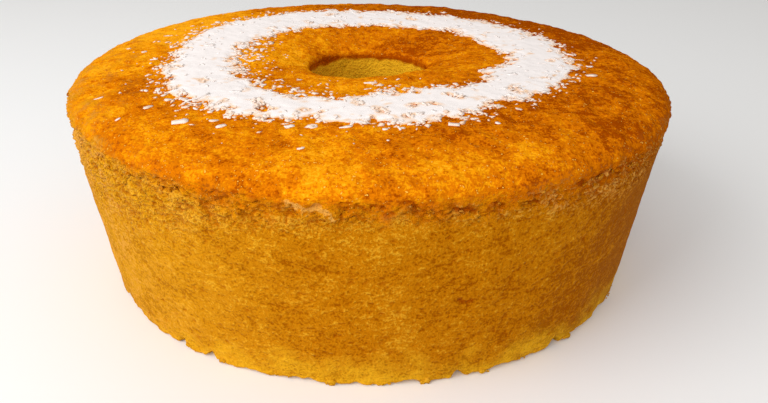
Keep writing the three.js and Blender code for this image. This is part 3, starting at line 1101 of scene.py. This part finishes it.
class CAKE_OT_spread_coconut(bpy.types.Operator):
    """Spreads the layer of fine coconut over its ring on the crown"""

    bl_idname = "cake.spread_coconut"
    bl_label = "Spread coconut"

    def execute(self, context):
        sizes = context.scene.cake_sizes
        coconut = context.scene.cake_coconut
        inner = coconut.inner_radius - LAYER_MARGIN * MM
        outer = coconut.outer_radius + LAYER_MARGIN * MM
        high = sizes.crown_height
        low = high - LAYER_THICKNESS * MM
        section = chain(
            (((inner, low), (outer, low)), 2),
            (((outer, low), (outer, high)), 1),
            (((outer, high), (inner, high)), LAYER_ROWS),
            (((inner, high), (inner, low)), 1),
        )
        points = spun(section, LAYER_AROUND)
        x, y = points[..., 0], points[..., 1]
        under = points[..., 2] < (low + high) / 2
        sunk = crown_height(sizes, x, y) - LAYER_SUNK * MM
        points[..., 2] = np.where(under, sunk, coconut_top(sizes, coconut, x, y))
        uneven = lump_sum(flat_points(x, y), COCONUT_TINT)
        shade = step(*LAYER_TINTED, coconut_margin(coconut, x, y) + uneven)
        material = dry_coconut(context.scene.cake_colours)
        turned_piece("coconut_layer", points, material, {"shade": shade})
        return {"FINISHED"}


def scattered(draw, number, coconut, fade, sparse, cover):
    """Random places on and round the ring of coconut, drawn evenly over the crown. Well inside the ring a
    share of them is kept, the cover; all are at its edges, and fewer the further they lie outside, most at
    the left and, within the ring's inner radius, in the loose sector."""
    inner, outer = (radius * MM for radius in SCATTER_RADII)
    kept = np.zeros((0, 2))
    while len(kept) < number:
        radius = np.sqrt(draw.uniform(inner**2, outer**2, 4 * number))
        angle = draw.uniform(0, 2 * np.pi, 4 * number)
        places = np.stack([radius * np.cos(angle), radius * np.sin(angle)], -1)
        margin = coconut_margin(coconut, places[:, 0], places[:, 1])
        inside = cover + (1 - cover) * np.exp(-np.maximum(margin, 0) / 0.5)
        reach = fade * (1 + 0.7 * np.maximum(0, -np.cos(angle)))
        within = radius < coconut.inner_radius
        reach = reach * np.where(within, 0.35 + 1.7 * sector("loose", angle), 1)
        outside = sparse * np.exp(np.minimum(margin, 0) / reach)
        chance = np.where(margin > 0, inside, outside)
        kept = np.concatenate([kept, places[draw.uniform(size=len(places)) < chance]])
    return kept[:number]


def bed(sizes, coconut, x, y):
    """Height of what a loose bit lies on over a place: the coconut, or the bare crown."""
    return np.maximum(crown_height(sizes, x, y), coconut_top(sizes, coconut, x, y))


def laid(sizes, coconut, places, lift):
    """Points lifted off the bed over some places, and its unit normals there: its slopes are taken over a
    short reach to both sides."""
    reach = 0.8 * MM
    x, y = places[:, 0], places[:, 1]
    height = bed(sizes, coconut, x, y)
    rise_x = bed(sizes, coconut, x + reach, y) - bed(sizes, coconut, x - reach, y)
    rise_y = bed(sizes, coconut, x, y + reach) - bed(sizes, coconut, x, y - reach)
    normal = unit(np.stack([-rise_x, -rise_y, np.full_like(x, 2 * reach)], -1))
    return np.stack([x, y, height + lift], -1), normal


def placed(shapes, origin, normal, ahead):
    """Bits moved from their own axes to the cake: Z along a normal, and X as near to a direction as that
    allows."""
    across = unit(np.cross(normal, ahead))
    axes = np.stack([np.cross(across, normal), across, normal], 1)
    return origin[:, None] + np.einsum("bcx,bxy->bcy", shapes, axes)


def strips(draw, lengths, widths, thicknesses, bend, curl):
    """Shreds along X: a four-sided section carried along a line that bends sideways and curls up at its
    ends as the square of the distance from the middle, narrower towards both ends and a little uneven."""
    bits = len(lengths)
    along = np.linspace(-1, 1, STRIP_STATIONS)[None, :]
    full = 1 - draw.uniform(0.15, 0.6, (bits, 1)) * np.abs(along) ** draw.uniform(2.5, 5, (bits, 1))
    full = full * draw.uniform(0.65, 1.25, (bits, STRIP_STATIONS))
    middle_y = draw.normal(0, bend, (bits, 1)) * lengths[:, None] * along**2
    middle_z = np.abs(draw.normal(0, curl, (bits, 1))) * lengths[:, None] * along**2
    across = np.array([-1, 1, 1, -1])[None, None, :] / 2
    rise = np.array([-1, -1, 1, 1])[None, None, :] / 2
    x = (lengths[:, None] * along / 2)[..., None] + 0 * across
    y = middle_y[..., None] + (widths[:, None] * full)[..., None] * across
    z = middle_z[..., None] + (thicknesses[:, None] * (0.3 + 0.7 * full))[..., None] * rise
    return np.stack([x, y, z], -1).reshape(bits, STRIP_STATIONS * STRIP_SIDES, 3)


def strip_faces():
    """Faces of one shred: four sides between each two stations, and its two ends."""
    station, side = np.divmod(np.arange((STRIP_STATIONS - 1) * STRIP_SIDES), STRIP_SIDES)
    here = station * STRIP_SIDES
    there = here + STRIP_SIDES
    turn = (side + 1) % STRIP_SIDES
    sides = np.stack([here + turn, there + turn, there + side, here + side], -1)
    first_end = np.arange(STRIP_SIDES)
    last_end = first_end + (STRIP_STATIONS - 1) * STRIP_SIDES
    return np.concatenate([sides, [first_end[::-1], last_end]])


class CAKE_OT_scatter_shreds(bpy.types.Operator):
    """Scatters fine shreds over the layer of coconut, grains along its edges and larger flakes beside it"""

    bl_idname = "cake.scatter_shreds"
    bl_label = "Scatter shreds"

    def execute(self, context):
        coconut = context.scene.cake_coconut
        draw = np.random.default_rng(coconut.seed)
        for kind, scatter in SCATTERS.items():
            number = getattr(coconut, kind + "_count")
            places = scattered(draw, number, coconut, *scatter)
            lengths = getattr(coconut, kind + "_length") * draw.lognormal(*LENGTH_SPREAD, number)
            widths = getattr(coconut, kind + "_width") * draw.lognormal(*WIDTH_SPREAD, number)
            headings = draw.uniform(0, 2 * np.pi, number)
            thickness = coconut.shred_thickness if kind == "shred" else coconut.grain_thickness
            self.lay(context, draw, f"coconut_{kind}s", places, lengths, widths, thickness, headings)
        strays = np.array(STRAY_FLAKES)
        places = MM * strays[:, :2]
        lengths = MM * strays[:, 2]
        widths = lengths * draw.uniform(0.42, 0.7, len(strays))
        headings = np.radians(strays[:, 3])
        thickness = 1.1 * coconut.grain_thickness
        self.lay(context, draw, "coconut_strays", places, lengths, widths, thickness, headings)
        return {"FINISHED"}

    def lay(self, context, draw, name, places, lengths, widths, thickness, headings):
        """One piece of shreds of some sizes, laid flat beside the layer and more loosely on it."""
        coconut = context.scene.cake_coconut
        number = len(places)
        piled = step(*SHREDS_PILED, coconut_margin(coconut, places[:, 0], places[:, 1]))
        shapes = strips(draw, lengths, widths, np.full(number, thickness), 0.06, 0.02)
        lift = thickness / 3 + MM * piled * draw.uniform(-0.15, 0.1, number)
        origin, normal = laid(context.scene.cake_sizes, coconut, places, lift)
        lean = draw.normal(0, 1, (number, 3)) * LEVEL * (0.03 + 0.03 * piled)[:, None]
        points = placed(shapes, origin, unit(normal + lean), level_way(headings))
        # Warm tint: partly the crust showing through, partly painted warm light bounced from it
        shade = {"shade": draw.uniform(0.2, 0.7, number) * (1 - 0.8 * piled)}
        material = bpy.data.materials["desiccated_coconut"]
        repeated_piece(name, points, strip_faces(), material, shade)


class CAKE_OT_scatter_fines(bpy.types.Operator):
    """Scatters the finest bits of coconut over the layer and round its edges"""

    bl_idname = "cake.scatter_fines"
    bl_label = "Scatter fines"

    def execute(self, context):
        coconut = context.scene.cake_coconut
        draw = np.random.default_rng(coconut.seed + 1)
        number = coconut.fine_count
        places = scattered(draw, number, coconut, *FINE_SCATTER)
        size = coconut.fine_size * draw.lognormal(*FINE_SPREAD, (number, 1, 1)) / 2
        uneven = draw.uniform(0.5, 1.3, (number, len(FINE_TIPS), 1))
        shapes = FINE_TIPS * size * uneven * FINE_SHAPE
        origin, normal = laid(context.scene.cake_sizes, coconut, places, 0.08 * MM)
        points = placed(shapes, origin, normal, level_way(draw.uniform(0, 2 * np.pi, number)))
        ring = np.arange(4)
        after = (ring + 1) % 4
        upper = np.stack([ring, after, 0 * ring + 4], -1)
        lower = np.stack([after, ring, 0 * ring + 5], -1)
        piled = step(*FINES_PILED, coconut_margin(coconut, places[:, 0], places[:, 1]))
        # Warm tint: partly the crust showing through, partly painted warm light bounced from it
        shade = {"shade": draw.uniform(0.4, 1.0, number) * (1 - 0.8 * piled)}
        faces = np.concatenate([upper, lower])
        material = bpy.data.materials["desiccated_coconut"]
        repeated_piece("coconut_fines", points, faces, material, shade)
        return {"FINISHED"}


class CAKE_OT_drop_crumbs(bpy.types.Operator):
    """Adds the dry flakes along the rim and the crumbs along the base"""

    bl_idname = "cake.drop_crumbs"
    bl_label = "Drop crumbs"

    def execute(self, context):
        crumbs = context.scene.cake_crumbs
        draw = np.random.default_rng(crumbs.seed)
        sizes = context.scene.cake_sizes
        number = crumbs.rim_flake_count
        angle = draw.uniform(0, 2 * np.pi, number)
        heights = sizes.rim_height + MM * draw.normal(0, 1.7, number)
        lengths = crumbs.rim_flake * draw.lognormal(*CRUMB_SPREAD, number)
        flatness = np.full(number, 0.25)
        looks = {"lift": 0.1 * MM, "dryness": (0.2, 1.0), "inside": 0.0}
        self.drop(context, draw, "rim_flakes", angle, heights, lengths, flatness, **looks)
        own = np.array(BASE_CRUMBS)
        angle = draw.uniform(0, 2 * np.pi, crumbs.crumb_count)
        angle = angle[base_breaks(sizes, angle) < UNBROKEN]
        number = len(angle)
        angle = np.concatenate([angle, np.radians(own[:, 0])])
        heights = MM * np.concatenate([0.4 + np.abs(draw.normal(0, 0.7, number)), own[:, 1]])
        lengths = crumbs.crumb * draw.lognormal(*CRUMB_SPREAD, number)
        lengths = np.concatenate([lengths, MM * own[:, 2]])
        flatness = draw.uniform(0.5, 0.9, len(angle))
        looks = {"lift": -0.3 * MM, "dryness": (0.0, 0.2), "inside": 0.8}
        self.drop(context, draw, "base_crumbs", angle, heights, lengths, flatness, **looks)
        return {"FINISHED"}

    def drop(self, context, draw, name, angle, heights, lengths, flatness, lift, dryness, inside):
        """One piece of bits against the side at some places, lying along it with a random turn and lean.
        The smooth side goes on a little above the rim."""
        sizes = context.scene.cake_sizes
        number = len(angle)
        widths = lengths * draw.uniform(0.4, 0.8, number)
        shapes = strips(draw, lengths, widths, widths * flatness, 0.1, 0.06)
        out = level_way(angle)
        along = level_way(angle + np.pi / 2)
        up = np.array([0, 0, 1])
        share = np.minimum(heights / sizes.rim_height, 1.05)
        diameter = sizes.base_diameter + (sizes.rim_diameter - sizes.base_diameter) * share
        on_side = out * diameter[:, None] / 2 + up * heights[:, None]
        _, crags, _ = rim_crags(sizes, on_side, angle)
        relief = waves(ROUND_WAVES, angle) + lump_sum(on_side, SIDE_LUMPS) + crags
        stand = lift + MM * (relief - base_loss(sizes, on_side, angle))
        lean = draw.normal(0, 0.15, (number, 1)) * up + draw.normal(0, 0.15, (number, 1)) * along
        turn = draw.normal(0, 0.5, (number, 1))
        ahead = along * np.cos(turn) + up * np.sin(turn)
        points = placed(shapes, on_side + out * stand[:, None], unit(out + lean), ahead)
        points[..., 2] = np.maximum(points[..., 2], 0.05 * MM)
        paint = {
            "crown": np.zeros(number),
            "browning": np.zeros(number),
            "broken": np.full(number, 0.3),
            "dry": draw.uniform(*dryness, number),
            "inside": np.full(number, inside),
            "hollow": draw.uniform(0, 0.25, number),
        }
        repeated_piece(name, points, strip_faces(), bpy.data.materials["baked_cake"], paint)


class CAKE_OT_set_stage(bpy.types.Operator):
    """Sets the floor, the lights and the camera"""

    bl_idname = "cake.set_stage"
    bl_label = "Set stage"

    def execute(self, context):
        stage = context.scene.cake_stage
        scene = context.scene
        scene.view_settings.view_transform = "Standard"
        self.lay_floor(stage, scene)
        self.light(stage, scene)
        self.place_camera(stage, scene)
        return {"FINISHED"}

    def lay_floor(self, stage, scene):
        """A plain matt floor, a square far larger than the view."""
        signs = ((-1, -1), (1, -1), (1, 1), (-1, 1))
        corners = [(x * FLOOR_HALF, y * FLOOR_HALF, 0) for x, y in signs]
        mesh = bpy.data.meshes.new("floor")
        mesh.from_pydata(corners, [], [(0, 1, 2, 3)])
        material, tree, _ = new_material("matt_white_board")
        finish_material(tree, {"Base Color": rgba(stage.floor), "Roughness": 0.6})
        mesh.materials.append(material)
        floor = bpy.data.objects.new("floor", mesh)
        scene.collection.objects.link(floor)

    def light(self, stage, scene):
        """Pale surroundings, a large soft light from the left, a weak one from behind and one from the
        front."""
        world = bpy.data.worlds.new("surroundings")
        world.use_nodes = True
        background = world.node_tree.nodes["Background"]
        background.inputs["Color"].default_value = rgba(stage.sky)
        background.inputs["Strength"].default_value = SKY_STRENGTH
        scene.world = world
        for name, at, size, power in LAMPS:
            lamp = bpy.data.lights.new(name, "AREA")
            lamp.size = size
            lamp.energy = power
            holder = bpy.data.objects.new(name, lamp)
            holder.location = at
            holder.rotation_euler = (LAMP_AIM - Vector(at)).to_track_quat("-Z", "Y").to_euler()
            scene.collection.objects.link(holder)

    def place_camera(self, stage, scene):
        """The camera, looking from its place to its aim and rolled a little."""
        camera = bpy.data.objects.new("camera", bpy.data.cameras.new("camera"))
        camera.data.lens = stage.lens
        camera.location = stage.eye
        view = (Vector(stage.aim) - Vector(stage.eye)).to_track_quat("-Z", "Y")
        camera.rotation_euler = (view @ Quaternion((0, 0, 1), stage.roll)).to_euler()
        scene.collection.objects.link(camera)
        scene.camera = camera


class CAKE_PT_sidebar(bpy.types.Panel):
    """Lists the sizes, the colours and the steps"""

    bl_idname = "CAKE_PT_sidebar"
    bl_label = "Coconut ring cake"
    bl_space_type = "VIEW_3D"
    bl_region_type = "UI"
    bl_category = "Cake"

    def draw(self, context):
        for name in SETTINGS:
            settings = getattr(context.scene, name)
            box = self.layout.box()
            for key in settings.__annotations__:
                box.prop(settings, key)
        for operator in STEPS:
            self.layout.operator(operator.bl_idname)


SETTINGS = {
    "cake_sizes": CakeSizes,
    "cake_coconut": CoconutSizes,
    "cake_crumbs": CrumbSizes,
    "cake_colours": CakeColours,
    "cake_stage": StageSettings,
}
STEPS = (
    CAKE_OT_bake_crumb,
    CAKE_OT_break_rim,
    CAKE_OT_brown_crown,
    CAKE_OT_spread_coconut,
    CAKE_OT_scatter_shreds,
    CAKE_OT_scatter_fines,
    CAKE_OT_drop_crumbs,
    CAKE_OT_set_stage,
)


def register():
    """Registers the classes and hangs the settings on the scene."""
    for name, settings in SETTINGS.items():
        bpy.utils.register_class(settings)
        setattr(bpy.types.Scene, name, PointerProperty(type=settings))
    for made in (*STEPS, CAKE_PT_sidebar):
        bpy.utils.register_class(made)


def unregister():
    """Takes the settings and the classes away again."""
    for made in (*STEPS, CAKE_PT_sidebar):
        bpy.utils.unregister_class(made)
    for name, settings in SETTINGS.items():
        delattr(bpy.types.Scene, name)
        bpy.utils.unregister_class(settings)


def main():
    """Registers the classes and makes every piece in order."""
    register()
    for made in STEPS:
        group, name = made.bl_idname.split(".")
        getattr(getattr(bpy.ops, group), name)()


if __name__ == "__main__":
    main()
